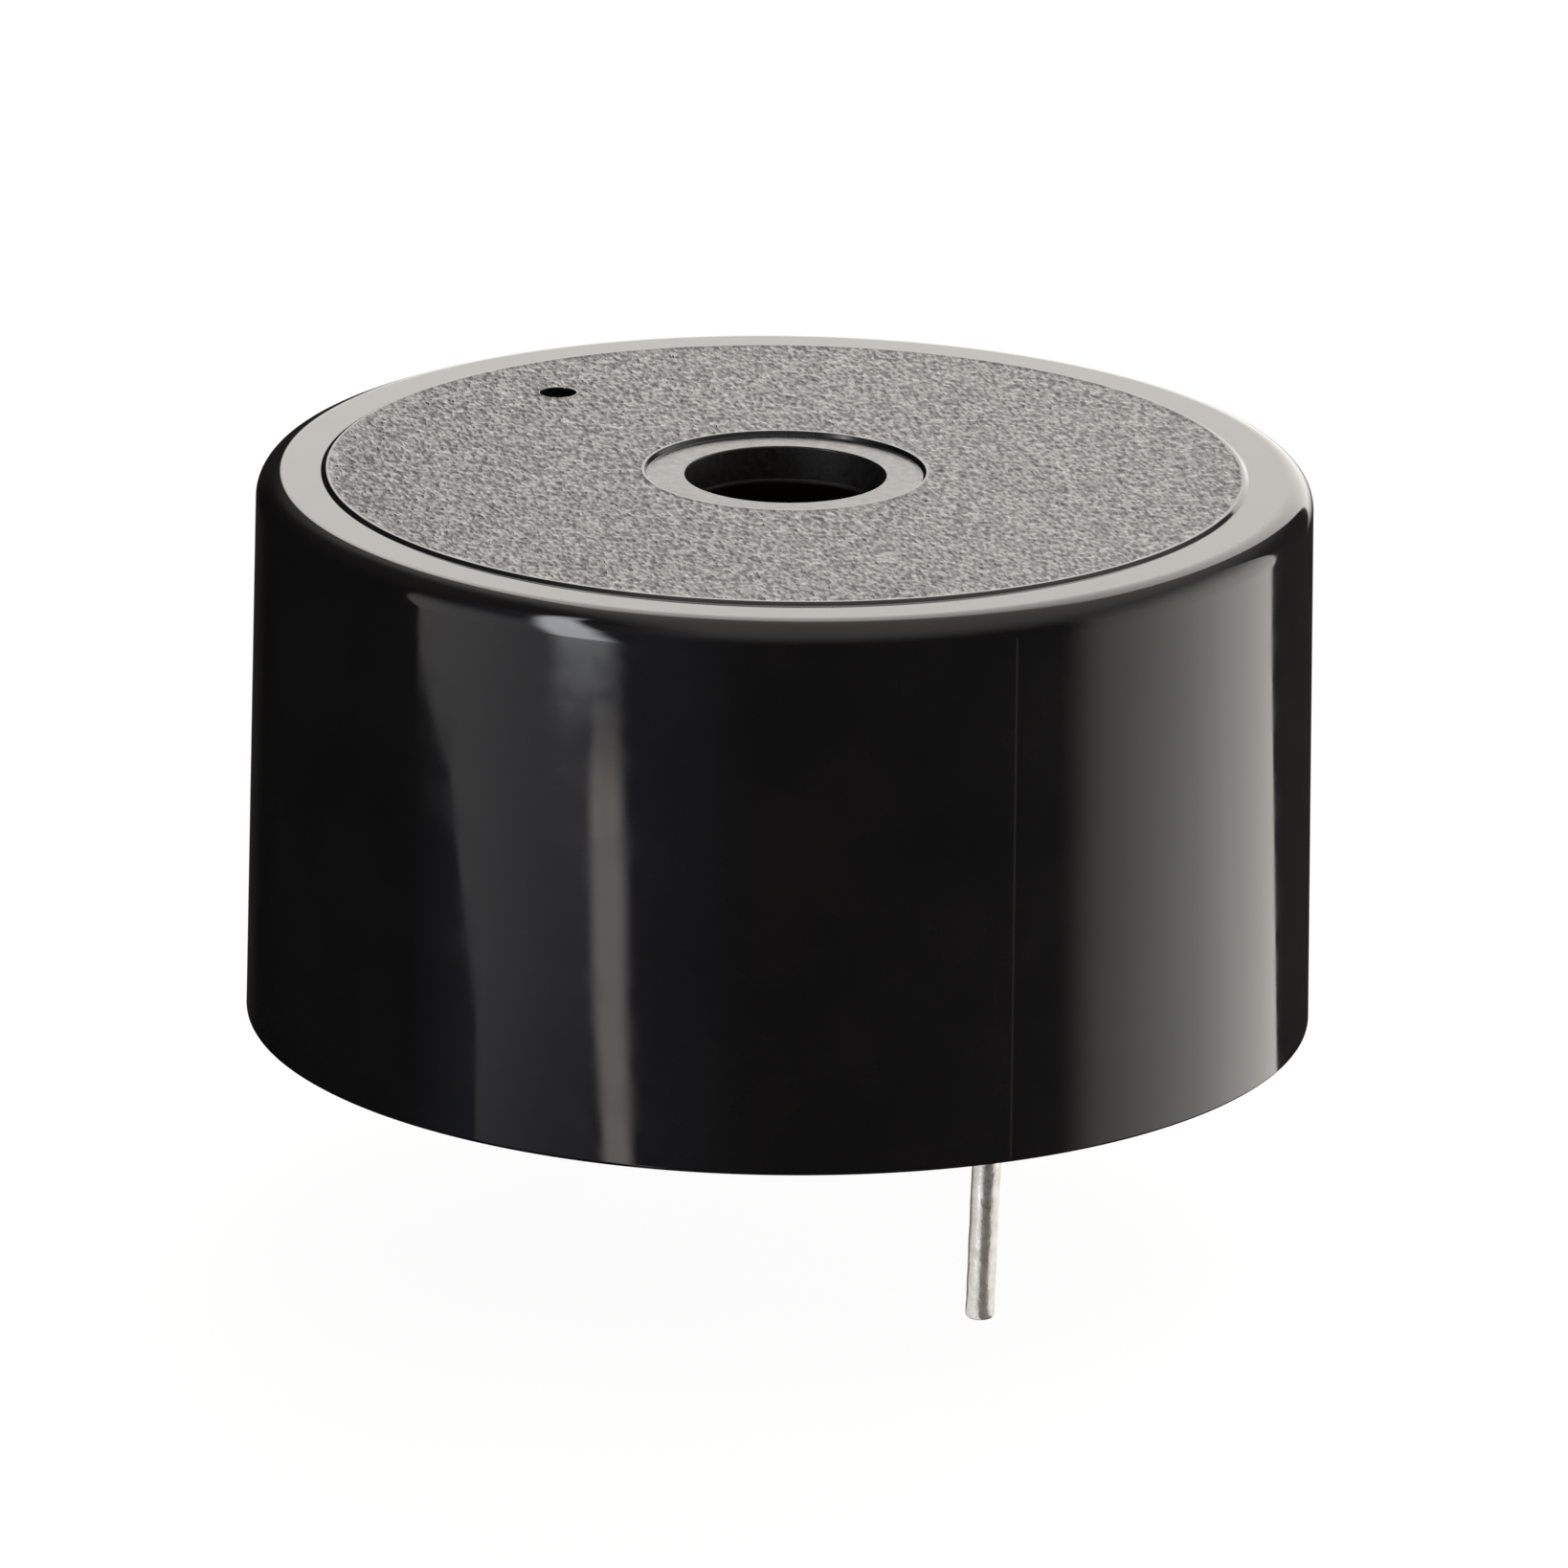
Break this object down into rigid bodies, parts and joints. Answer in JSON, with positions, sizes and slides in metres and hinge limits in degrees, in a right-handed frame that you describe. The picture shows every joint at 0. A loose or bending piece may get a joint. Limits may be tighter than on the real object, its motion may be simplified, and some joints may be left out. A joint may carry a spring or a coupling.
{
  "type": "piezo buzzer",
  "caption": "Round black piezo buzzer with a grained face, central sound hole, polarity dot and through-hole pins, holding a brass sounder disc and its drive circuit.",
  "frame": {"origin": "centre of the housing's seating edge, midway between the pins", "axes": "+Z out of the sound hole, +X from the marked positive pin to the negative pin"},
  "size_m": [0.0234, 0.0234, 0.0176],
  "materials": {
    "black_plastic": "moulded, glossy wall and rim with a spark-eroded grain on the face",
    "tinned_pin": "drawn wire with a bright tin coat",
    "brass": "rolled sheet",
    "piezo_ceramic": "lapped, unglazed",
    "fired_silver": "screen printed and fired, dull",
    "silicone": "cured bead",
    "board_laminate": "glass epoxy laminate with green lacquer",
    "copper": "etched foil",
    "chip_moulding": "moulded epoxy",
    "chip_glaze": "fired glaze",
    "tinned_leg": "tin plated",
    "solder": "reflowed solder",
    "black_insulation": "extruded insulation",
    "red_insulation": "extruded insulation",
    "blue_insulation": "extruded insulation",
    "black_epoxy": "poured and cured"
  },
  "bodies": {
    "root": {"housing": "black_plastic", "positive_pin": "tinned_pin", "negative_pin": "tinned_pin", "diaphragm_plate": "brass", "piezo_ceramic": "piezo_ceramic", "main_electrode": "fired_silver", "feedback_electrode": "fired_silver", "diaphragm_sealant": "silicone", "circuit_board": "board_laminate", "copper_tracks": "copper", "transistor": "chip_moulding", "transistor_leads": "tinned_leg", "collector_resistor": "chip_glaze", "base_resistor": "chip_glaze", "feedback_resistor": "chip_glaze", "resistor_end_caps": "tinned_leg", "pin_solder_joints": "solder", "ground_lead": "black_insulation", "drive_lead": "red_insulation", "feedback_lead": "blue_insulation", "element_solder_dots": "solder", "board_lead_joints": "solder", "potting": "black_epoxy"}
  },
  "joints": []
}
